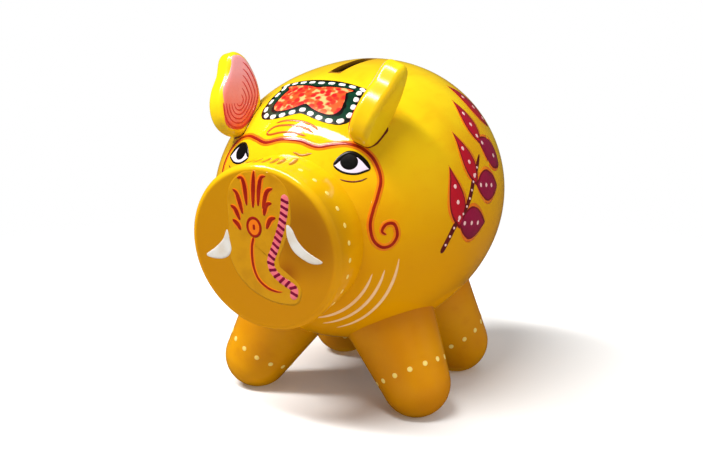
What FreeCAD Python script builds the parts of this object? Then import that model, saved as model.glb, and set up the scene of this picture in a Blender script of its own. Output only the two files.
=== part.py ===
import FreeCAD, Part

import math
import os

# A hand-turned wooden money box in the shape of a pig.
# All lengths are millimetres. +Z is up, the pig looks along -Y and its own left side is +X.
# The body and snout are turned shapes: they are drawn in the lathe frame, whose Y axis is the turning
# axis and whose origin is the body centre, and are then tipped nose-down and lifted onto the legs.
# Everything is drawn with the body centre over the origin. At the end it is all moved back, so that the
# origin is on the floor under the middle of the overall length.

# ---- body -----------------------------------------------------------------------------------------
BODY_RADIUS = 50.0
BODY_HEIGHT = 72.9  # floor to body centre
NOSE_DOWN = 5.7  # tilt of the turning axis, degrees
BODY_SET_BACK = 6.24  # from the middle of the overall length back to the body centre
FRONT_LENGTH = 55.5  # body centre to the front pole, before the snout seat is cut
FRONT_FULLNESS = 2.43  # 2 is an ellipse, larger is fuller at the shoulder
REAR_LENGTH = 57.8
REAR_FULLNESS = 2.27
WALL = 8.0
CAVITY_FRONT = 41.0  # body centre to the front end of the hollow

# ---- joint between the two turned shells ----------------------------------------------------------
SEAM_Y = 12.0
LIP_LENGTH = 5.0
LIP_RADIUS = 46.0

# ---- coin slot and belly opening ------------------------------------------------------------------
SLOT_LENGTH = 26.0
SLOT_WIDTH = 4.6
SLOT_CENTRE_Y = -2.5
BELLY_Y = -2.0  # along the floor from the body centre
BELLY_HOLE_RADIUS = 10.0
BELLY_RECESS_RADIUS = 12.5
BELLY_RECESS_HEIGHT = 25.2  # floor to the flat seat of the stopper's flange

# ---- belly stopper --------------------------------------------------------------------------------
STOPPER_CLEARANCE = 0.05
FLANGE_THICKNESS = 2.2
FLANGE_GAP = 0.5
PLUG_LENGTH = 9.0
PLUG_WALL = 2.6
GRIP_LENGTH = 13.0
GRIP_WIDTH = 2.4
GRIP_HEIGHT = 2.2
GRIP_ROUNDING = 0.96

# ---- snout ----------------------------------------------------------------------------------------
NECK_Y = -49.8
NECK_RADIUS = 27.4
SNOUT_FACE_Y = -68.1
SNOUT_RADIUS = 28.6
SNOUT_RIM = 2.2  # rounding of the rim
SPIGOT_RADIUS = 15.0
SPIGOT_LENGTH = 10.0
SPIGOT_CHAMFER = 1.0

# ---- legs -----------------------------------------------------------------------------------------
FOOT_RADIUS = 12.3
FOOT_HEIGHT = 11.8  # floor to the centre of the round foot, so each foot has a small worn flat
FRONT_FOOT = (33.6, -21.4)
REAR_FOOT = (25.5, 31.4)
HIP_RADIUS = 20.7
HIP = (6.8, 14.0, 57.6)  # the front hips lie at -Y and the rear hips at +Y
LEG_DOWEL_RADIUS = 3.5
LEG_DOWEL_IN_LEG = 13.0
LEG_DOWEL_IN_WALL = 6.5

# ---- ears -----------------------------------------------------------------------------------------
EAR_THICKNESS = 8.0
EAR_EDGE = 2.2  # rounding of the plate's edges
# Outline of the ear plate, forward and up from its middle. The lower rear part is buried in the body
# before the plate is scribed to fit.
EAR_OUTLINE = [
    (0.2, 14.3),
    (-3.4, 12.7),
    (-6.4, 8.8),
    (-8.5, 4.0),
    (-9.4, -1.5),
    (-9.0, -7.0),
    (-6.4, -12.0),
    (-1.6, -15.0),
    (3.4, -14.4),
    (7.0, -11.6),
    (8.8, -7.4),
    (8.8, -2.4),
    (7.2, 2.4),
    (5.2, 6.4),
    (4.3, 10.0),
    (3.0, 13.0),
]
# The ears are set by hand and do not quite mirror each other. Each has the middle of its plate and
# its outward and backward lean and how far its inner face is turned towards the front.
LEFT_EAR = ((28.7, -41.1, 113.2), 20.6, 18.5, 5.0)
RIGHT_EAR = ((-29.4, -39.9, 113.0), 10.3, 10.0, 18.0)
EAR_DOWEL_RADIUS = 2.5
EAR_DOWEL_IN_EAR = 8.0
EAR_DOWEL_IN_WALL = 6.0
EAR_DOWEL_LEAN = 30.0  # the dowel leans forward in the plate, nearer to square with the body

DOWEL_CHAMFER = 0.6
BIG = 400.0  # larger than the whole object
OVERLAP = 1.0  # how far a shape runs into the one it is joined to or cut from
PROFILE_STEPS = 14

LATHE_AXIS = FreeCAD.Vector(0, 1, 0)
UP = FreeCAD.Vector(0, 0, 1)
CENTRE = FreeCAD.Vector(0, 0, BODY_HEIGHT)


# ---- turned shapes --------------------------------------------------------------------------------
def turned_arc(length, radius, fullness):
    """Points from the pole at (0, length) to the widest circle, in the plane of radius and axis."""
    points = []
    for step in range(PROFILE_STEPS + 1):
        angle = 0.5 * math.pi * step / PROFILE_STEPS
        along = length * math.cos(angle) ** (2.0 / fullness)
        out = radius * math.sin(angle) ** (2.0 / fullness)
        points.append(FreeCAD.Vector(out, along, 0))
    return points


def turned_solid(radius, front, rear):
    """A closed egg turned about the lathe axis; front and rear are (length, fullness)."""
    back_half = turned_arc(rear[0], radius, rear[1])
    front_half = turned_arc(front[0], radius, front[1])
    mirrored = [FreeCAD.Vector(p.x, -p.y, 0) for p in reversed(front_half)]
    curve = Part.BSplineCurve()
    curve.interpolate(
        Points=back_half + mirrored[1:],
        InitialTangent=FreeCAD.Vector(1, 0, 0),
        FinalTangent=FreeCAD.Vector(-1, 0, 0),
    )
    axis_line = Part.makeLine(mirrored[-1], back_half[0])
    face = Part.Face(Part.Wire([curve.toShape(), axis_line]))
    return face.revolve(FreeCAD.Vector(0, 0, 0), LATHE_AXIS, 360)


def lathe_cylinder(radius, start, end):
    """A cylinder on the lathe axis between two stations."""
    return Part.makeCylinder(radius, end - start, FreeCAD.Vector(0, start, 0), LATHE_AXIS)


def onto_legs(shape):
    """Tips a lathe-frame shape nose-down and lifts it to its place over the floor."""
    placed = shape.copy()
    placed.rotate(FreeCAD.Vector(0, 0, 0), FreeCAD.Vector(1, 0, 0), NOSE_DOWN)
    placed.translate(CENTRE)
    return placed


def body_outside():
    """The whole outside of the body, before it is hollowed or divided."""
    return turned_solid(BODY_RADIUS, (FRONT_LENGTH, FRONT_FULLNESS), (REAR_LENGTH, REAR_FULLNESS))


def body_hollow():
    """The coin chamber inside the body."""
    front = (CAVITY_FRONT, FRONT_FULLNESS)
    rear = (REAR_LENGTH - WALL, REAR_FULLNESS)
    return turned_solid(BODY_RADIUS - WALL, front, rear)


def coin_slot():
    """A round-ended slot, cut through the top after the shells are joined."""
    half = 0.5 * (SLOT_LENGTH - SLOT_WIDTH)
    slot = Part.makeBox(SLOT_WIDTH, 2 * half, BODY_RADIUS, FreeCAD.Vector(-0.5 * SLOT_WIDTH, -half, 0))
    for end in (-half, half):
        round_end = Part.makeCylinder(0.5 * SLOT_WIDTH, BODY_RADIUS, FreeCAD.Vector(0, end, 0))
        slot = slot.fuse(round_end)
    slot = slot.removeSplitter()
    slot.translate(FreeCAD.Vector(0, SLOT_CENTRE_Y, 0.5 * BODY_RADIUS))
    return slot


def front_shell_blank(outside, hollow):
    """The front shell with its snout seat and the socket for the rear shell's lip."""
    shell = outside.common(lathe_cylinder(BIG, NECK_Y, SEAM_Y))
    shell = shell.cut(hollow)
    shell = shell.cut(lathe_cylinder(LIP_RADIUS, SEAM_Y - LIP_LENGTH, SEAM_Y))
    return shell.cut(lathe_cylinder(SPIGOT_RADIUS, NECK_Y - OVERLAP, NECK_Y + SPIGOT_LENGTH + OVERLAP))


def rear_shell_blank(outside, hollow):
    """The rear shell with the lip that glues into the front shell."""
    shell = outside.common(lathe_cylinder(BIG, SEAM_Y, BIG))
    shell = shell.fuse(lathe_cylinder(LIP_RADIUS, SEAM_Y - LIP_LENGTH, SEAM_Y))
    return shell.cut(hollow)


def snout():
    """The turned snout disc, with its round rim and the spigot that fits the front shell."""
    chamfer_end = NECK_Y + SPIGOT_LENGTH
    rim_middle = 0.5 * math.sqrt(2) * SNOUT_RIM
    rim_start = FreeCAD.Vector(SNOUT_RADIUS, SNOUT_FACE_Y + SNOUT_RIM, 0)
    rim_mid = FreeCAD.Vector(
        SNOUT_RADIUS - SNOUT_RIM + rim_middle,
        SNOUT_FACE_Y + SNOUT_RIM - rim_middle,
        0,
    )
    rim_end = FreeCAD.Vector(SNOUT_RADIUS - SNOUT_RIM, SNOUT_FACE_Y, 0)
    edges = [Part.Arc(rim_start, rim_mid, rim_end).toShape()]
    corners = [
        rim_end,
        FreeCAD.Vector(0, SNOUT_FACE_Y, 0),
        FreeCAD.Vector(0, chamfer_end, 0),
        FreeCAD.Vector(SPIGOT_RADIUS - SPIGOT_CHAMFER, chamfer_end, 0),
        FreeCAD.Vector(SPIGOT_RADIUS, chamfer_end - SPIGOT_CHAMFER, 0),
        FreeCAD.Vector(SPIGOT_RADIUS, NECK_Y, 0),
        FreeCAD.Vector(NECK_RADIUS, NECK_Y, 0),
        rim_start,
    ]
    for start, end in zip(corners, corners[1:]):
        edges.append(Part.makeLine(start, end))
    face = Part.Face(Part.Wire(edges))
    return face.revolve(FreeCAD.Vector(0, 0, 0), LATHE_AXIS, 360)


# ---- belly opening --------------------------------------------------------------------------------
def belly_opening():
    """The round hole under the belly and the flat recess for the stopper's flange."""
    floor_point = FreeCAD.Vector(0, BELLY_Y, 0)
    recess = Part.makeCylinder(BELLY_RECESS_RADIUS, BELLY_RECESS_HEIGHT, floor_point)
    hole = Part.makeCylinder(BELLY_HOLE_RADIUS, BODY_HEIGHT, floor_point)
    return recess.fuse(hole)


def belly_stopper():
    """A soft plug with a flange and a finger grip, hollow on the inside."""
    seat = BELLY_RECESS_HEIGHT
    base = FreeCAD.Vector(0, BELLY_Y, seat - FLANGE_THICKNESS)
    flange = Part.makeCylinder(BELLY_RECESS_RADIUS - FLANGE_GAP, FLANGE_THICKNESS, base)
    plug_radius = BELLY_HOLE_RADIUS - STOPPER_CLEARANCE
    plug = Part.makeCylinder(plug_radius, PLUG_LENGTH + FLANGE_THICKNESS, base)
    inside = Part.makeCylinder(plug_radius - PLUG_WALL, PLUG_LENGTH, FreeCAD.Vector(0, BELLY_Y, seat))
    corner = FreeCAD.Vector(
        -0.5 * GRIP_LENGTH,
        BELLY_Y - 0.5 * GRIP_WIDTH,
        seat - FLANGE_THICKNESS - GRIP_HEIGHT,
    )
    grip = Part.makeBox(GRIP_LENGTH, GRIP_WIDTH, GRIP_HEIGHT + OVERLAP, corner)
    grip = grip.makeFillet(GRIP_ROUNDING, grip.Edges[:4])
    return flange.fuse([plug, grip]).cut(inside).removeSplitter()


# ---- dowels ---------------------------------------------------------------------------------------
def dowel(radius, start, direction, length):
    """A round glue dowel with chamfered ends."""
    pin = Part.makeCylinder(radius, length, start, direction)
    rims = [edge for edge in pin.Edges if isinstance(edge.Curve, Part.Circle)]
    return pin.makeChamfer(DOWEL_CHAMFER, rims)


def surface_crossing(outside, start, direction):
    """Where a straight line from outside the body first meets its surface."""
    line = Part.makeLine(start, start + direction * BODY_RADIUS)
    buried = outside.common(line)
    return min((v.Point for v in buried.Vertexes), key=lambda p: p.distanceToPoint(start))


# ---- legs -----------------------------------------------------------------------------------------
def leg_axis(side, foot, front):
    """The foot centre and the hip point, which lie on a leg's axis."""
    foot_centre = FreeCAD.Vector(side * foot[0], foot[1], FOOT_HEIGHT)
    hip = FreeCAD.Vector(side * HIP[0], -HIP[1] if front else HIP[1], HIP[2])
    return foot_centre, hip


def leg_blank(foot_centre, hip):
    """A turned leg: a round foot widening smoothly up to the hip."""
    reach = foot_centre.distanceToPoint(hip)
    slope = math.asin((HIP_RADIUS - FOOT_RADIUS) / reach)
    bottom = FreeCAD.Vector(0, 0, -FOOT_RADIUS)
    middle_angle = 0.5 * (math.radians(90) + slope)
    middle = FreeCAD.Vector(FOOT_RADIUS * math.sin(middle_angle), 0, -FOOT_RADIUS * math.cos(middle_angle))
    foot_side = FreeCAD.Vector(FOOT_RADIUS * math.cos(slope), 0, -FOOT_RADIUS * math.sin(slope))
    hip_side = FreeCAD.Vector(HIP_RADIUS * math.cos(slope), 0, reach - HIP_RADIUS * math.sin(slope))
    hip_middle = FreeCAD.Vector(0, 0, hip_side.z)
    edges = [
        Part.Arc(bottom, middle, foot_side).toShape(),
        Part.makeLine(foot_side, hip_side),
        Part.makeLine(hip_side, hip_middle),
        Part.makeLine(hip_middle, bottom),
    ]
    blank = Part.Face(Part.Wire(edges)).revolve(FreeCAD.Vector(0, 0, 0), UP, 360)
    turn = FreeCAD.Rotation(UP, hip - foot_centre)
    blank.Placement = FreeCAD.Placement(foot_centre, turn)
    return blank


def leg_and_dowel(outside, side, foot, front):
    """One leg scribed to the body, and the dowel that joins them."""
    foot_centre, hip = leg_axis(side, foot, front)
    upward = (hip - foot_centre).normalize()
    crossing = surface_crossing(outside, foot_centre, upward)
    length = LEG_DOWEL_IN_LEG + LEG_DOWEL_IN_WALL
    pin = dowel(LEG_DOWEL_RADIUS, crossing - upward * LEG_DOWEL_IN_LEG, upward, length)
    under_floor = Part.makeBox(BIG, BIG, BIG, FreeCAD.Vector(-0.5 * BIG, -0.5 * BIG, -BIG))
    leg = leg_blank(foot_centre, hip).cut(outside)
    leg = leg.cut(under_floor)
    return leg.cut(pin), pin


# ---- ears -----------------------------------------------------------------------------------------
def ear_directions(side, outward_lean, backward_lean, front_turn):
    """Forward, up and inward unit directions of an ear plate."""
    upward = FreeCAD.Vector(
        side * math.tan(math.radians(outward_lean)),
        math.tan(math.radians(backward_lean)),
        1,
    ).normalize()
    turn = math.radians(front_turn)
    inward = FreeCAD.Vector(-side * math.cos(turn), -math.sin(turn), 0)
    inward.z = -inward.dot(upward) / upward.z
    inward.normalize()
    forward = upward.cross(inward) * side
    return forward, upward, inward


def ear_plate(middle, forward, upward, inward):
    """The sawn ear plate with rounded edges, before it is scribed to the body."""
    rim = [middle + forward * p[0] + upward * p[1] - inward * (0.5 * EAR_THICKNESS) for p in EAR_OUTLINE]
    curve = Part.BSplineCurve()
    curve.interpolate(Points=rim, PeriodicFlag=True)
    face = Part.Face(Part.Wire(curve.toShape()))
    plate = face.extrude(inward * EAR_THICKNESS)
    # The seam of the outline is one thickness long, and the two outlines are far longer.
    outline_edges = [edge for edge in plate.Edges if edge.Length > 2 * EAR_THICKNESS]
    return plate.makeFillet(EAR_EDGE, outline_edges)


def ear_and_dowel(outside, side, setting):
    """One ear scribed to the body, and the dowel that joins them."""
    middle = FreeCAD.Vector(*setting[0])
    forward, upward, inward = ear_directions(side, *setting[1:])
    plate = ear_plate(middle, forward, upward, inward)
    tilt = math.radians(EAR_DOWEL_LEAN)
    away = (upward * math.cos(tilt) + forward * math.sin(tilt)).normalize()
    crossing = surface_crossing(outside, middle, away * -1)
    length = EAR_DOWEL_IN_EAR + EAR_DOWEL_IN_WALL
    pin = dowel(EAR_DOWEL_RADIUS, crossing - away * EAR_DOWEL_IN_WALL, away, length)
    return plate.cut(outside).cut(pin), pin


# ---- the whole money box --------------------------------------------------------------------------
def build():
    """Every piece of the money box, by name."""
    outside = body_outside()
    hollow = body_hollow()
    slot = coin_slot()
    front_shell = onto_legs(front_shell_blank(outside, hollow).cut(slot))
    rear_shell = onto_legs(rear_shell_blank(outside, hollow).cut(slot))
    placed_outside = onto_legs(outside)

    pieces = {"snout": onto_legs(snout()), "belly_stopper": belly_stopper()}
    pins = {}
    legs = {
        "front_left_leg": (1, FRONT_FOOT, True),
        "front_right_leg": (-1, FRONT_FOOT, True),
        "rear_left_leg": (1, REAR_FOOT, False),
        "rear_right_leg": (-1, REAR_FOOT, False),
    }
    for name, (side, foot, front) in legs.items():
        pieces[name], pins[name + "_dowel"] = leg_and_dowel(placed_outside, side, foot, front)
    ears = {"left_ear": (1, LEFT_EAR), "right_ear": (-1, RIGHT_EAR)}
    for name, (side, setting) in ears.items():
        pieces[name], pins[name + "_dowel"] = ear_and_dowel(placed_outside, side, setting)

    front_shell = front_shell.cut(belly_opening())
    for pin in pins.values():
        front_shell = front_shell.cut(pin)
        rear_shell = rear_shell.cut(pin)
    pieces["body_front_shell"] = front_shell
    pieces["body_rear_shell"] = rear_shell
    pieces.update(pins)
    for piece in pieces.values():
        piece.translate(FreeCAD.Vector(0, BODY_SET_BACK, 0))
    return pieces


os.makedirs("parts", exist_ok=True)
for piece_name, shape in build().items():
    shape.exportStep("parts/" + piece_name + ".step")
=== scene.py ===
import math

import bmesh
import bpy
from mathutils import Matrix, Vector
from mathutils.bvhtree import BVHTree


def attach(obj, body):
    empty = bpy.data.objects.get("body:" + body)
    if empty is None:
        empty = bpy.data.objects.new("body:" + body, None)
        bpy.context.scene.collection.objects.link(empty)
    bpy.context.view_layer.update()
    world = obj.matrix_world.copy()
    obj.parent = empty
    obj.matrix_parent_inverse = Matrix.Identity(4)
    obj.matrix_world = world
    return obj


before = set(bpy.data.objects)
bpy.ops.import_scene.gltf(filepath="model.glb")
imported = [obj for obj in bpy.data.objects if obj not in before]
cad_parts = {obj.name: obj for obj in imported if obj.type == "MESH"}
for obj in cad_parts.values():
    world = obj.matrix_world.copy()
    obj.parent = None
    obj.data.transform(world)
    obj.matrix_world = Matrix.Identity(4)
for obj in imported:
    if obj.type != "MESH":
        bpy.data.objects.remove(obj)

bpy.context.view_layer.update()

# Lengths are millimetres and angles are degrees, until a mesh is made in metres.
MM = 0.001
BODY = "pig"

# The round body is turned on a lathe, and its axis dips towards the nose.
# Lathe places are (x, y, z) with the body's middle at zero and the nose towards -y.
LATHE_CENTRE = Vector((0.0, 6.24, 72.9))
LATHE_TURN = Matrix.Rotation(math.radians(5.7), 3, "X")
FAR = 90.0


def lathe_point(x, y, z):
    """A lathe place in the shared frame."""
    return LATHE_TURN @ Vector((x, y, z)) + LATHE_CENTRE


def lathe_direction(x, y, z):
    """A lathe direction in the shared frame."""
    return LATHE_TURN @ Vector((x, y, z))


# ---------------------------------------------------------------- surfaces to paint on

class Skin:
    """The outside of some CAD nodes."""

    def __init__(self, *names):
        points = []
        faces = []
        for name in names:
            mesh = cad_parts[name].data
            start = len(points)
            points += [vertex.co / MM for vertex in mesh.vertices]
            faces += [[start + i for i in face.vertices] for face in mesh.polygons]
        self.tree = BVHTree.FromPolygons(points, faces)

    def hit(self, start, direction):
        """Where a straight line from outside first meets the skin."""
        return self.tree.ray_cast(start, direction)[0]

    def lift(self, point, height):
        """The skin's nearest place to a point, raised by height."""
        foot, normal, _, _ = self.tree.find_nearest(point)
        return foot + normal * height

    def normal(self, point):
        return self.tree.find_nearest(point)[1]


BALL = Skin("body_front_shell", "body_rear_shell")
SNOUT = Skin("snout")


def near(x, y, z):
    """A place on the round body, close to the one given."""
    return BALL.lift(lathe_point(x, y, z), 0)


def around(angle, y, skin=BALL):
    """A place at an angle from the top, towards the pig's left, at y along the lathe axis."""
    x = math.sin(math.radians(angle))
    z = math.cos(math.radians(angle))
    return skin.hit(lathe_point(FAR * x, y, FAR * z), lathe_direction(-x, 0, -z))


def on_top(x, y):
    return BALL.hit(lathe_point(x, y, FAR), lathe_direction(0, 0, -1))


def on_rump(x, z):
    return BALL.hit(lathe_point(x, FAR, z), lathe_direction(0, -1, 0))


def on_face(x, z):
    return SNOUT.hit(lathe_point(x, -FAR, z), lathe_direction(0, 1, 0))


# ---------------------------------------------------------------- curves

def spline(points, step, loop=False):
    """Evenly spaced points on a smooth curve through the given ones."""
    if loop:
        ends = [points[-1]] + points + points[:2]
    else:
        ends = [2 * points[0] - points[1]] + points + [2 * points[-1] - points[-2]]
    fine = []
    for a, b, c, d in zip(ends, ends[1:], ends[2:], ends[3:]):
        for k in range(16):
            t = k / 16
            bend = 2 * a - 5 * b + 4 * c - d
            twist = 3 * b - a - 3 * c + d
            fine.append(0.5 * (2 * b + (c - a) * t + bend * t ** 2 + twist * t ** 3))
    fine.append(points[0] if loop else points[-1])
    total = sum((b - a).length for a, b in zip(fine, fine[1:]))
    count = max(2, round(total / step))
    spaced = [fine[0]]
    passed = 0.0
    for a, b in zip(fine, fine[1:]):
        length = (b - a).length
        while len(spaced) <= count and passed + length >= total * len(spaced) / count - 1e-9:
            share = (total * len(spaced) / count - passed) / max(length, 1e-9)
            spaced.append(a.lerp(b, min(1.0, share)))
        passed += length
    return spaced[:-1] if loop else spaced


def taper(share):
    """Rounds a stroke's end: 0 at its tip and 1 from where the end has passed."""
    left = 1 - min(1.0, max(0.0, share))
    return math.sqrt(max(0.0, 1 - left * left))


def brush(width, head=0.0, tail=0.0):
    """The half width along a stroke. Its ends are round, or drawn out over head and tail."""
    def half_width(passed, length):
        start = max(head, width / 2)
        end = max(tail, width / 2)
        return width / 2 * taper(passed / start) * taper((length - passed) / end)
    return half_width


def leaf(width, fullest=0.5, point=1.0):
    """The half width along a leaf, widest at a share of its length."""
    power = math.log(0.5) / math.log(fullest)

    def half_width(passed, length):
        return width / 2 * math.sin(math.pi * (passed / length) ** power) ** point
    return half_width


# ---------------------------------------------------------------- enamel

class Enamel:
    """One coat of paint, as closed and slightly domed patches laid on a skin."""
    SKIRT = 0.2
    THINNEST = 0.04
    ACROSS = 6

    def __init__(self, skin=BALL, thickness=0.14):
        self.skin = skin
        self.thickness = thickness
        self.mesh = bmesh.new()

    def ring(self, points):
        return [self.mesh.verts.new(point * MM) for point in points]

    def join(self, first, second):
        """Faces between two rings with the same number of points."""
        count = len(first)
        for i in range(count):
            j = (i + 1) % count
            self.mesh.faces.new((first[i], first[j], second[j], second[i]))

    def stroke(self, path, half_width, step=0.6, loop=False):
        """A brush stroke along a path."""
        path = [self.skin.lift(point, 0) for point in spline(path, step, loop)]
        count = len(path)
        spans = [(path[(i + 1) % count] - path[i]).length for i in range(count)]
        length = sum(spans[:-1])
        passed = 0.0
        rings = []
        for i, point in enumerate(path):
            before = path[i - 1] if loop or i else point
            after = path[(i + 1) % count] if loop else path[min(i + 1, count - 1)]
            normal = self.skin.normal(point)
            side = normal.cross(after - before).normalized()
            half = half_width if loop else max(self.THINNEST, half_width(passed, length))
            section = [self.skin.lift(point - side * half, -self.SKIRT)]
            for k in range(self.ACROSS + 1):
                share = -math.cos(math.pi * k / self.ACROSS)
                place = self.skin.lift(point + side * half * share, 0)
                dome = self.thickness * (1 - share ** 4) * min(1.0, half / 0.3)
                section.append(place + normal * dome)
            section.append(self.skin.lift(point + side * half, -self.SKIRT))
            rings.append(self.ring(section))
            passed += spans[i]
        for first, second in zip(rings, rings[1:]):
            self.join(first, second)
        if loop:
            self.join(rings[-1], rings[0])
        else:
            self.mesh.faces.new(rings[0])
            self.mesh.faces.new(rings[-1])

    def fill(self, outline, centre=None):
        """A filled shape that can be seen whole from its centre."""
        if centre is None:
            centre = sum(outline, Vector()) / len(outline)
        rings = [self.ring([self.skin.lift(point, -self.SKIRT) for point in outline])]
        for share in (1.0, 0.97, 0.92, 0.85, 0.76, 0.66, 0.55, 0.42, 0.28, 0.14):
            height = self.thickness * (1 - share ** 12)
            rings.append(self.ring([self.skin.lift(centre.lerp(point, share), height) for point in outline]))
        for first, second in zip(rings, rings[1:]):
            self.join(first, second)
        for ring, height in ((rings[0], -self.SKIRT), (rings[-1], self.thickness)):
            middle = self.mesh.verts.new(self.skin.lift(centre, height) * MM)
            for i in range(len(ring)):
                self.mesh.faces.new((ring[i], ring[(i + 1) % len(ring)], middle))

    def dot(self, centre, radius, count=14):
        """A round dab."""
        normal = self.skin.normal(centre)
        side = normal.orthogonal().normalized()
        up = normal.cross(side)
        turns = [2 * math.pi * i / count for i in range(count)]
        self.fill([centre + radius * (math.cos(t) * side + math.sin(t) * up) for t in turns], centre)

    def finish(self, name, material):
        """Makes the coat an object that rides with the body."""
        bmesh.ops.recalc_face_normals(self.mesh, faces=self.mesh.faces)
        mesh = bpy.data.meshes.new(name)
        self.mesh.to_mesh(mesh)
        self.mesh.free()
        mesh.shade_smooth()
        mesh.materials.append(material)
        piece = bpy.data.objects.new(name, mesh)
        bpy.context.scene.collection.objects.link(piece)
        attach(piece, BODY)
        return piece


def shrink(outline, centre, distance):
    """An outline moved towards its centre."""
    return [point + (centre - point).normalized() * distance for point in outline]


# ---------------------------------------------------------------- materials

def linear(red, green, blue):
    """A colour given as 0 to 255 on a screen, for a shader."""
    values = [value / 255 for value in (red, green, blue)]
    return tuple(v / 12.92 if v <= 0.04045 else ((v + 0.055) / 1.055) ** 2.4 for v in values) + (1.0,)


class Graph:
    """A material made of nodes."""

    def __init__(self, name):
        self.material = bpy.data.materials.new(name)
        self.material.use_nodes = True
        self.nodes = self.material.node_tree.nodes
        self.links = self.material.node_tree.links
        self.nodes.clear()
        self.place = self.add("TexCoord").outputs["Object"]

    def add(self, kind, inputs=None, **settings):
        node = self.nodes.new("ShaderNode" + kind)
        for key, value in settings.items():
            setattr(node, key, value)
        for key, value in (inputs or {}).items():
            if isinstance(value, bpy.types.NodeSocket):
                self.links.new(value, node.inputs[key])
            else:
                node.inputs[key].default_value = value
        return node

    def math(self, operation, first, second=0.0):
        return self.add("Math", {0: first, 1: second}, operation=operation).outputs[0]

    def range(self, value, low, high, start=0.0, end=1.0):
        """Value taken smoothly from low..high to start..end, and held outside."""
        inputs = {"Value": value, "From Min": low, "From Max": high, "To Min": start, "To Max": end}
        return self.add("MapRange", inputs, interpolation_type="SMOOTHSTEP").outputs[0]

    def mix(self, share, first, second):
        """One colour turning into another."""
        node = self.add("Mix", {0: share, 6: first, 7: second}, data_type="RGBA")
        return node.outputs[2]

    def noise(self, scale, detail=3.0, stretch=(1, 1, 1)):
        """Noise with about scale features a metre."""
        place = self.add("Mapping", {"Vector": self.place, "Scale": stretch}).outputs[0]
        inputs = {"Vector": place, "Scale": scale, "Detail": detail}
        return self.add("TexNoise", inputs).outputs["Fac"]

    def lathe(self):
        """The lathe place of each point, in metres."""
        inputs = {0: self.place, 1: LATHE_CENTRE * MM}
        moved = self.add("VectorMath", inputs, operation="SUBTRACT").outputs[0]
        inputs = {"Vector": moved, "Angle": -math.radians(5.7), "Axis": (1, 0, 0)}
        turned = self.add("VectorRotate", inputs).outputs[0]
        return turned

    def spot(self, place, centre, radius, soft):
        """1 within a round spot, 0 outside, with a soft edge."""
        inputs = {0: place, 1: Vector(centre) * MM}
        distance = self.add("VectorMath", inputs, operation="DISTANCE").outputs["Value"]
        return self.range(distance, (radius - soft) * MM, (radius + soft) * MM, 1.0, 0.0)

    def bump(self, height, distance, strength=1.0, normal=None):
        inputs = {"Height": height, "Distance": distance * MM, "Strength": strength}
        if normal is not None:
            inputs["Normal"] = normal
        return self.add("Bump", inputs).outputs[0]

    def surface(self, colour, roughness, normal=None, **more):
        inputs = {"Base Color": colour, "Roughness": roughness}
        if normal is not None:
            inputs["Normal"] = normal
        inputs.update({key.replace("_", " "): value for key, value in more.items()})
        shader = self.add("BsdfPrincipled", inputs).outputs[0]
        self.add("OutputMaterial", {"Surface": shader})
        return self.material


WOOD_PALE = linear(222, 184, 128)
WOOD_DARK = linear(176, 128, 76)


def wood_colour(graph):
    """Bare turned wood: long grain along y with fine pores."""
    grain = graph.noise(160, 4, (1, 0.12, 1))
    pores = graph.noise(1400, 2, (1, 0.08, 1))
    share = graph.math("ADD", graph.math("MULTIPLY", grain, 0.75), graph.math("MULTIPLY", pores, 0.25))
    return graph.mix(graph.range(share, 0.35, 0.65), WOOD_PALE, WOOD_DARK)


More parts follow.
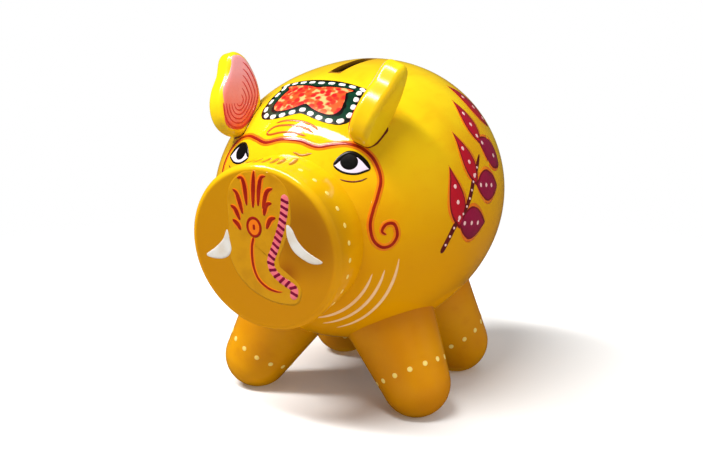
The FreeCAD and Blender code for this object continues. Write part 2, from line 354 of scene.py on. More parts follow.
def yellow_lacquer(name, high, low, deep, spots=(), coat_roughness=0.06, painted_light_heights=(0.055, 0.125)):
    """Hand-brushed yellow lacquer with painted light and shade by height and in given spots, bare wood where the body
    is cut open with painted shade in the coin slot, rubbed on the feet.
    """
    graph = Graph(name)
    lathe = graph.lathe()
    parts = graph.add("SeparateXYZ", {0: graph.place}).outputs
    height = graph.range(parts[2], *painted_light_heights)
    patchy = graph.noise(28, 3)
    streaks = graph.noise(210, 3, (1, 0.25, 1))
    specks = graph.noise(2600, 1)
    # Painted light and shade: the colour goes from low below to high above over the given heights. On the body, ears
    # and snout the top is painted lighter and the bottom darker; on the legs the top is painted darker, as shade under
    # the body.
    colour = graph.mix(height, low, high)
    colour = graph.mix(graph.range(patchy, 0.40, 0.72, 0.0, 0.5), colour, deep)
    colour = graph.mix(graph.range(streaks, 0.50, 0.78, 0.0, 0.22), colour, deep)
    # Round spots laid over the colour; on the snout they carry its ochre face and its painted shade.
    for centre, radius, soft, share, tint in spots:
        mask = graph.math("MULTIPLY", graph.spot(lathe, centre, radius, soft), share)
        colour = graph.mix(mask, colour, tint)

    # A cut opening shows bare wood: inside the ball the sum below is under 1.
    turned = graph.add("SeparateXYZ", {0: lathe}).outputs
    wide = graph.math("ADD", graph.math("POWER", turned[0], 2.0), graph.math("POWER", turned[2], 2.0))
    wide = graph.math("POWER", graph.math("DIVIDE", wide, 0.050 ** 2), 1.175)
    long = graph.math("POWER", graph.math("DIVIDE", graph.math("ABSOLUTE", turned[1]), 0.0566), 2.35)
    inside = graph.range(graph.math("ADD", wide, long), 0.86, 0.92, 1.0, 0.0)
    across = graph.math("ABSOLUTE", parts[0])
    slot = graph.math("MULTIPLY", graph.math("LESS_THAN", across, 0.00245), graph.math("GREATER_THAN", parts[2], 0.105))
    along = graph.math("ABSOLUTE", graph.math("ADD", parts[1], 0.0008))
    slot = graph.math("MULTIPLY", slot, graph.math("LESS_THAN", along, 0.0142))
    foot = graph.range(graph.math("ADD", parts[2], graph.math("MULTIPLY", patchy, 0.0012)), 0.0004, 0.0016, 0.85, 0.0)
    bare = graph.math("MAXIMUM", inside, foot) if "body" in name else foot
    colour = graph.mix(bare, colour, wood_colour(graph))
    # Painted shade in the coin slot: its walls go from pale brown at the edge to dark brown deeper inside the ball.
    if "body" in name:
        slot_shade_depth = graph.range(graph.math("ADD", wide, long), 0.90, 0.985)
        colour = graph.mix(slot, colour, graph.mix(slot_shade_depth, linear(46, 26, 10), linear(150, 104, 24)))

    rings = graph.noise(900, 2, (0.02, 1, 0.02))
    normal = graph.bump(graph.noise(75, 2), 0.35, 0.35)
    normal = graph.bump(rings, 0.05, 0.30, normal)
    normal = graph.bump(specks, 0.02, 0.25, normal)
    roughness = graph.range(graph.math("ADD", patchy, graph.math("MULTIPLY", specks, 0.3)), 0.45, 0.9, 0.34, 0.50)
    roughness = graph.math("MAXIMUM", roughness, graph.math("MULTIPLY", bare, 0.6))
    coat = graph.math("MULTIPLY", graph.math("SUBTRACT", 1.0, bare), 0.8)
    return graph.surface(colour, roughness, normal, Coat_Weight=coat, Coat_Roughness=coat_roughness,
                         Coat_IOR=1.62, Specular_IOR_Level=0.0)


def enamel(name, colour, tint, share=0.5, scale=160, gloss=0.3, coat=0.6):
    """Brushed enamel paint: the colour thins to a tint in streaks."""
    graph = Graph(name)
    streaks = graph.noise(scale, 3)
    fine = graph.noise(1500, 2)
    mixed = graph.mix(graph.range(streaks, 0.40, 0.75, 0.0, share), colour, tint)
    mixed = graph.mix(graph.range(fine, 0.50, 0.80, 0.0, 0.18), mixed, tint)
    normal = graph.bump(graph.noise(700, 2), 0.05, 0.4)
    roughness = graph.range(fine, 0.3, 0.8, gloss, gloss + 0.12)
    return graph.surface(mixed, roughness, normal, Coat_Weight=coat, Coat_Roughness=0.08, Specular_IOR_Level=0.15)


def mottled(name):
    """The ornament's middle: red dabs over orange with touches of yellow."""
    graph = Graph(name)
    wobble = graph.add("TexNoise", {"Vector": graph.place, "Scale": 260.0, "Detail": 2.0}).outputs["Color"]
    inputs = {0: graph.place, 1: graph.add("VectorMath", {0: wobble, "Scale": 0.0018}, operation="SCALE").outputs[0]}
    place = graph.add("VectorMath", inputs, operation="ADD").outputs[0]
    cells = graph.add("TexVoronoi", {"Vector": place, "Scale": 430.0})
    pick = graph.add("SeparateXYZ", {0: cells.outputs["Color"]}).outputs[0]
    edge = graph.range(cells.outputs["Distance"], 0.36, 0.66)
    dab = graph.mix(graph.range(pick, 0.45, 0.6), linear(228, 44, 20), linear(200, 16, 18))
    gap = graph.mix(graph.range(graph.noise(330, 1), 0.50, 0.58), linear(236, 84, 26), linear(250, 180, 110))
    colour = graph.mix(edge, dab, gap)
    normal = graph.bump(cells.outputs["Distance"], 0.12, -0.5)
    return graph.surface(colour, 0.32, normal, Coat_Weight=0.6, Coat_Roughness=0.08)


def ear_pink(name):
    """Pink enamel, redder at the ear's foot and paler at its top."""
    graph = Graph(name)
    height = graph.add("SeparateXYZ", {0: graph.place}).outputs[2]
    colour = graph.mix(graph.range(height, 0.101, 0.114), linear(228, 60, 28), linear(242, 132, 116))
    colour = graph.mix(graph.range(height, 0.112, 0.124, 0.0, 0.8), colour, linear(246, 176, 184))
    colour = graph.mix(graph.range(graph.noise(120, 3), 0.42, 0.7, 0.0, 0.45), colour, linear(248, 170, 160))
    colour = graph.mix(graph.range(graph.noise(1300, 2), 0.5, 0.8, 0.0, 0.2), colour, linear(225, 90, 80))
    normal = graph.bump(graph.noise(600, 2), 0.05, 0.4)
    return graph.surface(colour, 0.34, normal, Coat_Weight=0.5, Coat_Roughness=0.1)


def bare_wood(name):
    graph = Graph(name)
    normal = graph.bump(graph.noise(1200, 3, (1, 0.1, 1)), 0.06, 0.5)
    return graph.surface(wood_colour(graph), graph.range(graph.noise(500, 2), 0.3, 0.7, 0.55, 0.75), normal)


def black_rubber(name):
    graph = Graph(name)
    colour = graph.mix(graph.range(graph.noise(300, 4), 0.4, 0.7), linear(24, 24, 26), linear(44, 43, 44))
    normal = graph.bump(graph.noise(3500, 2), 0.03, 0.5)
    roughness = graph.range(graph.noise(900, 2), 0.3, 0.7, 0.55, 0.72)
    return graph.surface(colour, roughness, normal, Sheen_Weight=0.12, Sheen_Roughness=0.5)


# The lacquer's colours: a lemon yellow for the top, painted lighter as if lit, and a darker ochre yellow for the bottom
# as painted shade. The deep yellow is for random patches and streaks.
YELLOW = linear(244, 212, 22)
YELLOW_PAINTED_SHADE = linear(228, 156, 0)
YELLOW_DEEP = linear(222, 142, 0)
OCHRE = linear(186, 122, 0)
OCHRE_PAINTED_SHADE = linear(150, 90, 0)

BODY_PAINT = yellow_lacquer("body_lacquer", YELLOW, YELLOW_PAINTED_SHADE, YELLOW_DEEP)
# The legs are painted darker at their tops, as shade under the body, and lighter towards the feet.
LEG_PAINT = yellow_lacquer("leg_lacquer", linear(200, 116, 0), linear(222, 152, 0), linear(196, 110, 0), (), 0.16,
                           (0.020, 0.050))
EAR_PAINT = yellow_lacquer("ear_lacquer", linear(246, 214, 20), YELLOW_PAINTED_SHADE, YELLOW_DEEP, (), 0.2)
# Spots on the snout's face: the whole face in ochre, partly its own painted ground and partly painted shade; a darker
# ochre patch right of the trunk as painted shade; and a small brown spot at the trunk's lower end as a painted shadow.
SNOUT_OCHRE_AND_PAINTED_SHADE = (
    ((0, -68.1, 0), 26.8, 0.7, 0.85, OCHRE),
    ((16, -68.1, 6), 12, 7, 0.8, OCHRE_PAINTED_SHADE),
    ((9, -68.1, -7), 2.5, 4, 0.85, linear(140, 66, 0)),
)
SNOUT_PAINT = yellow_lacquer("snout_lacquer", YELLOW, YELLOW_PAINTED_SHADE, YELLOW_DEEP, SNOUT_OCHRE_AND_PAINTED_SHADE, 0.14)
WOOD = bare_wood("bare_wood_grain")
RUBBER = black_rubber("matt_rubber")

BLACK = enamel("black_enamel", linear(8, 6, 6), linear(24, 16, 12), 0.3, coat=0.25)
WHITE = enamel("white_enamel", linear(238, 236, 232), linear(205, 200, 205), 0.4)
PALE = enamel("pale_yellow_enamel", linear(250, 226, 130), linear(246, 206, 90), 0.5)
GREEN = enamel("dark_green_enamel", linear(8, 58, 38), linear(4, 28, 20), 0.8)
SPIRAL_GREEN = enamel("spiral_green_enamel", linear(14, 50, 32), linear(6, 30, 20), 0.7)
CRIMSON = enamel("crimson_enamel", linear(190, 16, 34), linear(150, 14, 62), 0.8, 90)
WINE = enamel("wine_enamel", linear(156, 16, 62), linear(120, 10, 50), 0.7, 90)
CRIMSON_EDGE = enamel("crimson_edge_enamel", linear(126, 10, 26), linear(96, 8, 18), 0.6)
DEEP_RED = enamel("deep_red_enamel", linear(146, 18, 4), linear(186, 50, 6), 0.5)
ORANGE = enamel("orange_enamel", linear(236, 116, 8), linear(234, 150, 6), 0.6)
BROWN_ORANGE = enamel("brown_orange_enamel", linear(184, 84, 8), linear(206, 120, 8), 0.5)
UMBER = enamel("umber_enamel", linear(168, 100, 10), linear(186, 124, 10), 0.5)
BROWN = enamel("brown_enamel", linear(104, 22, 18), linear(70, 16, 14), 0.6)
PINK_WHITE = enamel("pink_white_enamel", linear(252, 210, 160), linear(246, 184, 112), 0.5)
ROSE = enamel("rose_enamel", linear(250, 206, 200), linear(240, 170, 176), 0.4)
PINK = enamel("pink_enamel", linear(236, 116, 124), linear(214, 74, 96), 0.7)
MAROON = enamel("maroon_enamel", linear(116, 0, 50), linear(140, 6, 40), 0.6)
TUSK = enamel("tusk_enamel", linear(222, 218, 212), linear(204, 186, 160), 0.6)
SCLERA = enamel("sclera_enamel", linear(232, 220, 236), linear(206, 186, 214), 0.6)
EAR_RED = enamel("ear_line_enamel", linear(206, 52, 44), linear(184, 34, 34), 0.5)
EAR_FACE = ear_pink("ear_pink_enamel")
ORNAMENT = mottled("mottled_enamel")

# ---------------------------------------------------------------- the CAD nodes' finishes

FINISHES = (("dowel", WOOD), ("stopper", RUBBER), ("snout", SNOUT_PAINT), ("leg", LEG_PAINT),
            ("shell", BODY_PAINT), ("ear", EAR_PAINT))
for name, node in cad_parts.items():
    material = next(finish for ending, finish in FINISHES if name.endswith(ending))
    for index in range(len(node.data.materials)):
        node.data.materials[index] = material

# ---------------------------------------------------------------- eyes and brow

BOTH = (-1, 1)


def eye_place(side):
    """Gives the places of one eye: across towards the ear, and up."""
    centre = near(21.5 * side, -45.8, 25.3)
    normal = BALL.normal(centre)
    across = lathe_direction(0.89 * side, 0.44, -0.1)
    across = (across - normal * across.dot(normal)).normalized()
    up = normal.cross(across) * -side
    if up.z < 0:
        up = -up

    def place(along, above):
        return BALL.lift(centre + across * along + up * above, 0)
    return place


UPPER_LID = ((-5.4, -1.0), (-4.2, 0.4), (-2.6, 2.2), (-0.6, 3.4), (1.6, 3.2), (3.8, 1.9), (5.6, 0.2), (7.0, -1.6))
LOWER_LID = ((-5.4, -1.0), (-4.0, -2.2), (-2.0, -3.2), (0.4, -3.6), (2.8, -3.4), (4.8, -2.6), (7.0, -1.6))
EYE_CREASE = ((-3.0, -5.6), (-0.8, -6.1), (1.6, -6.2), (4.0, -5.7), (6.2, -4.6))

sclera = Enamel(thickness=0.10)
iris = Enamel(thickness=0.17)
lids = Enamel(thickness=0.22)
lower_lids = Enamel(thickness=0.19)
crease = Enamel(thickness=0.10)
for side in BOTH:
    place = eye_place(side)
    upper = spline([place(*p) for p in UPPER_LID], 0.5)
    lower = spline([place(*p) for p in LOWER_LID], 0.5)
    sclera.fill(upper + lower[-2:0:-1], place(0.4, -0.3))
    turns = [2 * math.pi * k / 28 for k in range(28)]
    iris.fill([place(-0.2 + 3.2 * math.cos(t), 0.4 + 2.95 * math.sin(t)) for t in turns], place(-0.2, 0.4))
    lids.stroke([place(*p) for p in UPPER_LID], brush(1.6, 3, 3), 0.4)
    lower_lids.stroke([place(*p) for p in LOWER_LID], brush(0.75, 1.5, 1.5), 0.4)
    crease.stroke([place(*p) for p in EYE_CREASE], brush(0.55, 3, 3), 0.5)
sclera.finish("painted_eye_whites", SCLERA)
iris.finish("painted_irises", BLACK)
lids.finish("painted_upper_lids", BLACK)
lower_lids.finish("painted_lower_lids", BLACK)
crease.finish("painted_eye_creases", BROWN)

BROW = (
    (0, -47, 32), (4, -47, 31.8), (10, -47, 30.2), (15, -45, 30.8), (19.3, -43, 31), (24, -41.5, 29.4),
    (28.1, -41.1, 25.6), (31, -42.5, 20), (31, -45, 15), (30.1, -47, 10.3), (29.3, -48, 5.6),
    (30.2, -48, 0.6), (32.4, -46.4, -2.2), (35, -44.3, -1.7), (36.6, -43, 1.4), (35.7, -43.3, 5.2),
    (33.6, -45, 5.4), (32.6, -46.2, 3.2), (33.8, -45.3, 1.8),
)
brow_edges = Enamel(thickness=0.10)
brow = Enamel(thickness=0.16)
right_half = [near(-x, y, z) for x, y, z in reversed(BROW)]
left_half = [near(x, y, z) for x, y, z in BROW[1:]]
brow_edges.stroke(right_half + left_half, brush(2.5, 5, 5), 0.6)
brow.stroke(right_half + left_half, brush(1.4, 5, 5), 0.6)
brow_edges.finish("painted_brow_edges", ORANGE)
brow.finish("painted_brow_and_curls", DEEP_RED)

# Three lines across the forehead, the lower two joined at one end, and a fold above the snout.
FOREHEAD_LINES = (
    ((-13, -42.4), (-8, -42.0), (-2, -42.0), (5, -42.2), (11, -42.8), (14, -43.4)),
    ((12, -44.4), (6, -43.7), (-2, -43.4), (-9, -43.3), (-14, -43.5), (-18, -44.6), (-16, -45.3), (-8, -45.2),
     (0, -45.2), (9, -45.6)),
)
wrinkles = Enamel(thickness=0.12)
for line in FOREHEAD_LINES:
    wrinkles.stroke([around(*p) for p in line], brush(0.85, 2.5, 2.5))
wrinkles.finish("painted_forehead_lines", BROWN_ORANGE)

SNOUT_STROKES = ((-13, -64), (-6, -65), (0, -64.5), (5.5, -63.8), (9.5, -62.6), (15, -59.6))
strokes = Enamel(SNOUT, 0.12)
fold = Enamel(thickness=0.10)
fold.stroke([near(2, -49.3, 28.4), near(5.5, -49.4, 27.5), near(9, -48.5, 28.3)], brush(0.8, 2, 2))
fold.finish("painted_snout_fold", UMBER)
for angle, y in SNOUT_STROKES:
    strokes.stroke([around(angle + 0.6, y - 1.2, SNOUT), around(angle - 1.2, y + 3.5, SNOUT), around(angle - 4.2, y + 8, SNOUT)],
                   brush(1.5, 3, 4))
strokes.finish("painted_snout_strokes", UMBER)

# ---------------------------------------------------------------- ornament on the forehead

HALF_ORNAMENT = (
    (0, -22.6), (6, -22.4), (12, -22.2), (18, -22), (16.6, -25), (17.6, -28.4), (18.2, -32),
    (18.2, -36), (15.6, -39.4), (11, -40.8), (6.4, -40.8), (2.8, -40.2), (0, -39.7),
)
half = list(HALF_ORNAMENT)
outline = half + [(-x, y) for x, y in reversed(half[1:-1])]
centre = on_top(0, -31)
outline = spline([on_top(x, y) for x, y in outline], 0.8, loop=True)
for name, inset, thickness, material in (
    ("painted_ornament_rim", 0.0, 0.10, BLACK),
    ("painted_ornament_band", 0.9, 0.14, GREEN),
    ("painted_ornament_inner_line", 3.2, 0.18, BLACK),
    ("painted_ornament_middle", 4.3, 0.22, ORNAMENT),
):
    coat = Enamel(thickness=thickness)
    forward = lathe_direction(0, -0.25 * min(inset, 3.2), 0)
    coat.fill([BALL.lift(point + forward, 0) for point in shrink(outline, centre, inset)], centre)
    coat.finish(name, material)
dots = Enamel(thickness=0.26)
line = spline(shrink(outline, centre, 2.05), 3.9, loop=True)
for before, point, after in zip(line, line[1:] + line[:1], line[2:] + line[:2]):
    along = (after - before).normalized() * 1.4
    point = point + lathe_direction(0, -0.4, 0)
    dots.stroke([point - along, point, point + along], brush(2.0), 0.4)
dots.finish("painted_ornament_dots", WHITE)

# ---------------------------------------------------------------- cheeks and flanks

cheeks = Enamel(thickness=0.12)
for side in BOTH:
    for y, start, end in ((-47.4, 172, 112), (-45.1, 168, 108), (-42.2, 163, 101)):
        angles = [start + (end - start) * k / 8 for k in range(9)]
        cheeks.stroke([around(side * a, y) for a in angles], brush(1.2, 14, 14))
cheeks.finish("painted_cheek_arcs", PINK_WHITE)

# The branches are painted by hand, so the two flanks differ. Each leaf has its tip and base as
# (angle, y), its greatest width, and where along its length that is.
LEFT_LEAVES = (
    ((35, 16), (60, 26), 11, 0.6), ((43, 8), (65, 7), 8.5, 0.6), ((77, 19), (62, 6.5), 12, 0.45),
    ((54.5, -7.5), (79, -5.5), 8.5, 0.62), ((84, 12), (78.5, -6), 12, 0.5), ((66, -18.5), (92.5, -19.5), 9.5, 0.62),
    ((95.5, -1), (90, -20), 12.5, 0.55),
)
LEFT_STEM = ((101, -28), (95, -25), (90, -21.5), (86, -16), (81.5, -11.5), (76, -7), (72, -2), (68, 3))
RIGHT_LEAVES = (
    ((41, 30.5), (58, 20.5), 8.5, 0.5), ((45, 7.5), (68, 8.5), 8.5, 0.6), ((70, 27), (69, 8), 9.5, 0.5),
    ((56.5, -5), (80, -4), 8.5, 0.6), ((82, 15), (79, -5), 9.5, 0.5), ((67.5, -15.5), (89, -17), 8, 0.6),
    ((94, 2), (91, -18), 9.5, 0.5), ((104, -10), (99, -28), 8.5, 0.5),
)
RIGHT_STEM = ((99, -28), (91, -18), (85, -11.5), (80, -4), (71, 4.5), (68, 8.5), (62, 15.5), (57, 20.5))
BRANCHES = ((1, LEFT_LEAVES, LEFT_STEM, 2.3), (-1, RIGHT_LEAVES, RIGHT_STEM, 1.5))
halo = Enamel(thickness=0.09)
rims = Enamel(thickness=0.12)
leaves = Enamel(thickness=0.17)
dark_leaves = Enamel(thickness=0.17)
specks = Enamel(thickness=0.24)
stem = Enamel(thickness=0.11)
for side, places, stalk, stem_width in BRANCHES:
    for tip, base, width, fullest in places:
        coat = dark_leaves if tip[0] > 75 else leaves
        start = around(side * tip[0], tip[1])
        end = around(side * base[0], base[1])
        path = [BALL.lift(start.lerp(end, k / 8), 0) for k in range(9)]
        halo.stroke(path, leaf(width + 1.6, fullest, 0.75))
        rims.stroke(path, leaf(width + 0.4, fullest, 0.8))
        coat.stroke([start.lerp(end, 0.06)] + path[1:-1] + [start.lerp(end, 0.95)], leaf(width - 0.9, fullest, 0.8))
        for share in (0.34, 0.58, 0.82):
            specks.dot(BALL.lift(start.lerp(end, share), 0), 0.85, 12)
    path = [around(side * a, y) for a, y in stalk]
    stem.stroke(path, brush(stem_width, 2, 12))
    for point in spline(path, 3.4)[1:-2]:
        specks.dot(BALL.lift(point, 0), 0.22 * stem_width, 10)
halo.finish("painted_leaf_halos", ORANGE)
rims.finish("painted_leaf_rims", CRIMSON_EDGE)
leaves.finish("painted_leaves", CRIMSON)
dark_leaves.finish("painted_dark_leaves", WINE)
specks.finish("painted_leaf_dots", ROSE)
stem.finish("painted_stems", BROWN)

# ---------------------------------------------------------------- spiral on the rump

SPIRAL_TURNS = 2.53


def spiral(turns):
    """A place on the spiral, that many turns from its start below the middle."""
    radius = 1.5 + 11 * turns
    angle = 2 * math.pi * turns
    return on_rump(1.04 * radius * math.sin(angle), 0.8 + turns - 0.98 * radius * math.cos(angle))


path = [spiral(SPIRAL_TURNS * k / 90) for k in range(91)]
band = Enamel(thickness=0.15)
band.stroke(path, brush(4.6, 14, 26), 0.8)
band.finish("painted_spiral", SPIRAL_GREEN)
dots = Enamel(thickness=0.23)
for point in spline(path, 7.2)[1:-1]:
    dots.dot(BALL.lift(point, 0), 0.8, 12)
dots.finish("painted_spiral_dots", WHITE)

# ---------------------------------------------------------------- snout face

TRUNK = (
    (-12.8, 8.8), (-12.4, 17), (-10.3, 22.2), (-5.5, 25.8), (0, 26.6), (5, 26.2), (9.3, 23.3), (11.3, 19.5), (11.8, 14.2),
    (11.2, 9.2), (8.6, 3), (6, -3), (7.4, -7), (12, -9.4), (14, -13), (12, -17.6), (6, -18.4), (0, -17.4), (-6.1, -14.5),
    (-10.6, -10), (-13.2, -4), (-13.2, 2),
)
trunk = Enamel(SNOUT, 0.08)
trunk.fill(spline([on_face(x, z) for x, z in TRUNK], 0.8, loop=True), on_face(-4, 2))
trunk.finish("painted_trunk", enamel("trunk_yellow_enamel", linear(202, 142, 2), linear(184, 124, 0), 0.8))

# The fan's strokes, each from its hooked tip down towards the rosette.
FAN = (
    ((-1.3, 26.6), (-2, 20.3), (-2.6, 13.6)),
    ((-8.2, 23.4), (-6.2, 23.6), (-5.3, 20.6), (-5, 14.2)),
    ((-10.3, 19.6), (-8.7, 18.4), (-7.7, 15.3), (-6.8, 11.2)),
    ((-11.6, 14), (-9.7, 12.8), (-8, 9)),
    ((-11.2, 9.2), (-9.2, 7.8), (-8, 5.6)),
    ((3.2, 25), (1.3, 24.2), (0.2, 20.5), (-0.6, 14.4)),
    ((5.6, 21.2), (3.3, 19.9), (2, 16.8), (1.2, 13.6)),
    ((4.9, 16.2), (2.6, 15.2), (1.4, 11.4)),
    ((6, 11.4), (3.7, 10.4), (2, 7)),
)
fan_edges = Enamel(SNOUT, 0.13)
fan = Enamel(SNOUT, 0.20)
for points in FAN:
    path = [on_face(*p) for p in points]
    fan_edges.stroke(path, leaf(3.6, 0.5, 0.5), 0.5)
    fan.stroke(path, leaf(2.1, 0.5, 0.5), 0.5)
fan_edges.finish("painted_fan_edges", ORANGE)
fan.finish("painted_fan", DEEP_RED)

ROSETTE = (-2.8, 7.3)
rosette_edge = Enamel(SNOUT, 0.13)
rosette = Enamel(SNOUT, 0.20)
turns = [2 * math.pi * k / 24 for k in range(24)]
ring = [on_face(ROSETTE[0] + 2.5 * math.cos(t), ROSETTE[1] + 3.1 * math.sin(t)) for t in turns]
rosette_edge.dot(on_face(*ROSETTE), 3.3, 24)
rosette.stroke(ring, 0.6, 0.5, loop=True)
rosette.stroke([on_face(ROSETTE[0], ROSETTE[1] + z) for z in (-1.1, 0, 1.1)], brush(1.3), 0.3)
stalk = [on_face(*p) for p in ((-3.2, 4), (-4.2, 0), (-4.2, -5.7), (-2.6, -10.4), (0.8, -13.2), (4.3, -14.1), (6.8, -13.9))]
rosette_edge.stroke(stalk, brush(2.4, 1, 14))
rosette.stroke(stalk, brush(1.2, 1, 10))
rosette_edge.finish("painted_rosette_edges", ORANGE)
rosette.finish("painted_rosette_and_stem", DEEP_RED)

BAND = ((9.8, 19.6), (9.6, 16.6), (9, 13), (7.9, 9), (6.2, 4.5), (4.4, 0.2), (2.8, -3.6), (3.4, -6.9), (6, -9.4), (9, -11),
        (11.2, -12.6), (10.2, -16.2))
band_path = [on_face(*p) for p in BAND]
band = Enamel(SNOUT, 0.16)
band.stroke(band_path, brush(3.2, 2, 2), 0.5)
band.finish("painted_band", PINK)
stripes = Enamel(SNOUT, 0.24)
line = [SNOUT.lift(point, 0) for point in spline(band_path, 2.3)]
for before, point, after in zip(line, line[1:], line[2:]):
    along = (after - before).normalized()
    across = SNOUT.normal(point).cross(along)
    stripes.stroke([point - across * 1.6 - along * 0.5, point, point + across * 1.6 + along * 0.5], brush(1.4), 0.4)
stripes.finish("painted_band_stripes", MAROON)

LEFT_TUSK = ((9.6, 9.6), (11.7, 8.2), (13.4, 4.8), (15.5, 2.3), (18.4, 0.3), (22.6, -1.9), (18.2, -2.8), (12.5, 0), (9.9, 4.4))
RIGHT_TUSK = ((-13.7, 5.4), (-12.9, 1.8), (-12.5, -1.6), (-14.6, -4.4), (-18.5, -5.4), (-23, -4.6), (-18.9, -1.4), (-15.6, 1.8))
tusks = Enamel(SNOUT, 0.14)
for points, middle in ((LEFT_TUSK, (13.4, 2)), (RIGHT_TUSK, (-15.4, -1.8))):
    tusks.fill(spline([on_face(*p) for p in points], 0.6, loop=True), on_face(*middle))
tusks.finish("painted_tusks", TUSK)

pale = Enamel(SNOUT, 0.14)
for angle in range(24, 150, 12):
    pale.dot(around(angle, -60.2, SNOUT), 0.85, 12)
pale.finish("painted_snout_dots", PALE)

# ---------------------------------------------------------------- legs

FEET = {"front": Vector((33.6, -15.16, 11.8)), "rear": Vector((25.5, 37.64, 11.8))}
HIPS = {"front": Vector((6.8, -7.76, 57.6)), "rear": Vector((6.8, 20.24, 57.6))}
DOTS_UP = 4.5
DOT_COUNT = 14
for end, foot in FEET.items():
    for side, word in ((1, "left"), (-1, "right")):
        skin = Skin(f"{end}_{word}_leg")
        mirror = Vector((side, 1, 1))
        axis = ((HIPS[end] - foot) * mirror).normalized()
        middle = foot * mirror + axis * DOTS_UP
        across = axis.cross(Vector((1, 0, 0))).normalized()
        away = axis.cross(across)
        dots = Enamel(skin, 0.14)
        for k in range(DOT_COUNT):
            turn = 2 * math.pi * k / DOT_COUNT
            out = math.cos(turn) * across + math.sin(turn) * away
            dots.dot(skin.hit(middle + out * FAR, -out), 0.95, 12)
        dots.finish(f"painted_{end}_{word}_leg_dots", PALE)

# ---------------------------------------------------------------- ears

EAR_OUTLINE = (
    (1, 14), (-1.7, 13.6), (-4.6, 11.2), (-7, 7.4), (-8.5, 3.5), (-9, 0.6), (-8.3, -2.3), (-6.9, -5.6),
    (-4.8, -8.9), (-2.4, -11.8), (0.9, -14), (4.4, -14.1), (6.8, -12.7), (8.3, -10), (8.8, -7.2), (9, -4),
    (8.5, -0.8), (6.9, 3.1), (4.7, 6.4), (3.4, 10), (2.7, 13.3),
)
# The middle of each plate, its outward and backward lean, and the turn of its inner face to the front.
EARS = {
    "left": (1, Vector((28.7, -34.86, 113.2)), 20.6, 18.5, 5.0),
    "right": (-1, Vector((-29.4, -33.66, 113.0)), 10.3, 10.0, 18.0),
}


def ear_directions(side, outward_lean, backward_lean, front_turn):
    """Forward, up and inward unit directions of an ear plate."""
    outward = side * math.tan(math.radians(outward_lean))
    upward = Vector((outward, math.tan(math.radians(backward_lean)), 1)).normalized()
    turn = math.radians(front_turn)
    inward = Vector((-side * math.cos(turn), -math.sin(turn), 0))
    inward.z = -inward.dot(upward) / upward.z
    inward.normalize()
    return upward.cross(inward) * side, upward, inward


LINE_CENTRE = (0.8, -3.2)
for word, (side, middle, *setting) in EARS.items():
    forward, up, inward = ear_directions(side, *setting)
    skin = Skin(f"{word}_ear")

    def ear_place(a, b):
        return skin.hit(middle + forward * a + up * b + inward * 20, -inward)

    face = Enamel(skin, 0.12)
    front = {"left": 5.6, "right": 7.4}[word]
    points = [ear_place(min(front, a * 0.93), b * 0.93) for a, b in EAR_OUTLINE]
    face.fill(spline(points, 0.7, loop=True), ear_place(0, -1))
    face.finish(f"painted_{word}_ear_face", EAR_FACE)
    lines = Enamel(skin, 0.2)
    for k in range(6):
        size = 0.16 + 0.135 * k
        arc = [(LINE_CENTRE[0] + (a - LINE_CENTRE[0]) * size, LINE_CENTRE[1] + (b - LINE_CENTRE[1]) * size)
               for a, b in EAR_OUTLINE[1:16]]
        lines.stroke([ear_place(a, b) for a, b in arc], brush(0.6, 3, 3), 0.5)
    lines.finish(f"painted_{word}_ear_lines", EAR_RED)


def foot_ring(node):
    """The places on the round body around an ear's foot, in order."""
    points = [vertex.co / MM for vertex in node.data.vertices]
    touching = [point for point in points if (point - BALL.lift(point, 0)).length < 0.15]
    centre = sum(touching, Vector()) / len(touching)
    normal = BALL.normal(centre)
    across = normal.orthogonal().normalized()
    away = normal.cross(across)
    farthest = {}
    for point in touching:
        out = point - centre
        sector = round(math.atan2(out.dot(away), out.dot(across)) / (2 * math.pi) * 24) % 24
        if sector not in farthest or out.length > (farthest[sector] - centre).length:
            farthest[sector] = point
    return [farthest[sector] for sector in sorted(farthest)]


# A thin brown line round each ear's foot where it meets the body: a painted shadow in the joint.
ear_foot_shadows = Enamel(thickness=0.08)
for word in EARS:
    ear_foot_shadows.stroke(foot_ring(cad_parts[f"{word}_ear"]), 0.6, 0.6, loop=True)
ear_foot_shadows.finish("painted_ear_foot_shadow_lines", BROWN)

# ---------------------------------------------------------------- stage

def stage_floor():
    """A wide pale floor that melts into the backdrop and can't be seen from below."""
    mesh = bpy.data.meshes.new("floor")
    half = 3.0
    low = -0.0002
    corners = [(-half, -half, low), (half, -half, low), (half, half, low), (-half, half, low)]
    mesh.from_pydata(corners, [], [(0, 1, 2, 3)])
    floor = bpy.data.objects.new("floor", mesh)
    bpy.context.scene.collection.objects.link(floor)
    graph = Graph("pale_floor")
    tone = graph.mix(graph.range(graph.noise(9, 2), 0.3, 0.7), linear(250, 250, 249), linear(246, 246, 246))
    ray = graph.add("LightPath").outputs
    mirrored = ray["Is Glossy Ray"]
    tone = graph.mix(graph.math("MULTIPLY", mirrored, 0.95), tone, (0, 0, 0, 1))
    bounced = ray["Is Diffuse Ray"]
    tone = graph.mix(graph.math("MULTIPLY", bounced, 0.3), tone, (0, 0, 0, 1))
    lit = graph.add("BsdfDiffuse", {"Color": tone, "Roughness": 0.5}).outputs[0]
    clear = graph.add("BsdfTransparent").outputs[0]
    away = graph.add("VectorMath", {0: graph.place, 1: (1, 1, 0)}, operation="MULTIPLY").outputs[0]
    away = graph.add("VectorMath", {0: away}, operation="LENGTH").outputs["Value"]
    fade = graph.range(away, 0.14, 0.34)
    behind = graph.add("NewGeometry").outputs["Backfacing"]
    close = graph.math("MULTIPLY", bounced, graph.math("LESS_THAN", ray["Ray Length"], 0.004))
    hidden = graph.math("MAXIMUM", graph.math("MAXIMUM", fade, behind), close)
    graph.add("OutputMaterial", {"Surface": graph.add("MixShader", {0: hidden, 1: lit, 2: clear}).outputs[0]})
    mesh.materials.append(graph.material)


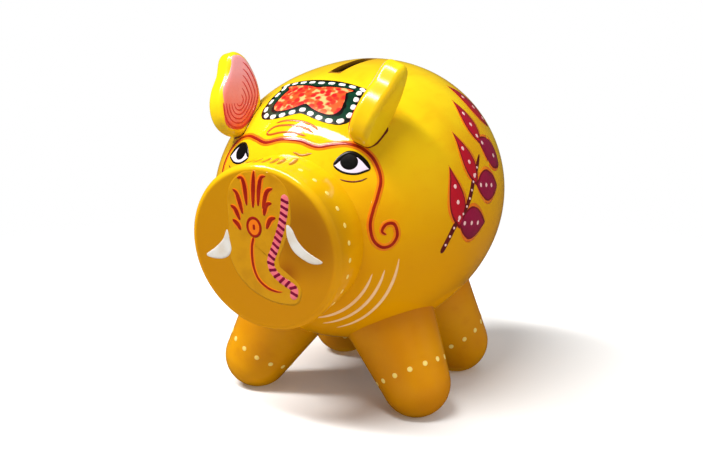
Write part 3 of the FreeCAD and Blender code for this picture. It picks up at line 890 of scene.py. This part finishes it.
def stage_world(light, seen, mirrored):
    """An even pale room, with its own brightness as light, as backdrop and in reflections."""
    world = bpy.data.worlds.new("studio")
    bpy.context.scene.world = world
    world.use_nodes = True
    world.cycles.sampling_method = "NONE"
    nodes = world.node_tree.nodes
    links = world.node_tree.links
    nodes.clear()
    path = nodes.new("ShaderNodeLightPath")
    shader = None
    for strength, kind in ((light, None), (mirrored, "Is Glossy Ray"), (seen, "Is Camera Ray")):
        glow = nodes.new("ShaderNodeBackground")
        glow.inputs["Color"].default_value = (1, 1, 1, 1)
        glow.inputs["Strength"].default_value = strength
        if kind is None:
            shader = glow
            continue
        mix = nodes.new("ShaderNodeMixShader")
        links.new(path.outputs[kind], mix.inputs[0])
        links.new(shader.outputs[0], mix.inputs[1])
        links.new(glow.outputs[0], mix.inputs[2])
        shader = mix
    out = nodes.new("ShaderNodeOutputWorld")
    links.new(shader.outputs[0], out.inputs["Surface"])


def stage_light(name, direction, distance, size, power, mirrored=True):
    """A soft lamp, wide by high, that shines at the body's middle."""
    lamp = bpy.data.lights.new(name, "AREA")
    lamp.shape = "RECTANGLE"
    lamp.size, lamp.size_y = size
    lamp.energy = power
    lamp.color = (1.0, 0.99, 0.97)
    light = bpy.data.objects.new(name, lamp)
    towards = Vector(direction).normalized()
    light.location = LATHE_CENTRE * MM + towards * distance
    light.rotation_mode = "QUATERNION"
    light.rotation_quaternion = towards.to_track_quat("Z", "Y")
    light.visible_glossy = mirrored
    bpy.context.scene.collection.objects.link(light)


def stage_camera():
    """Looks from the front left, a little above."""
    data = bpy.data.cameras.new("camera")
    camera = bpy.data.objects.new("camera", data)
    bpy.context.scene.collection.objects.link(camera)
    towards = Vector((0.4701, -0.8630, 0.1850))
    camera.location = (LATHE_CENTRE + towards * 452.0) * MM
    aim = Vector((0, -2, 62)) * MM
    camera.rotation_mode = "QUATERNION"
    camera.rotation_quaternion = (camera.location - aim).to_track_quat("Z", "Y")
    data.sensor_width = 36
    data.lens = 62
    data.clip_start = 0.01
    data.clip_end = 20
    bpy.context.scene.camera = camera


bpy.context.scene.view_settings.view_transform = "Standard"
stage_floor()
stage_world(0.34, 1.0, 0.06)
stage_light("lamp_left", (-0.48, -0.42, 0.77), 1.2, (0.20, 0.34), 9.5)
stage_light("lamp_top", (-0.09, -0.49, 0.865), 1.2, (0.72, 0.18), 12.5)
stage_light("lamp_above", (0.15, 0.1, 1.0), 1.4, (0.8, 0.8), 2.0, False)
stage_light("lamp_front", (0.75, -0.55, 0.45), 1.6, (1.0, 1.0), 3.0, False)
stage_light("lamp_right", (0.95, 0.25, 0.15), 1.5, (1.0, 1.0), 4.0, False)
stage_camera()

bpy.context.view_layer.update()
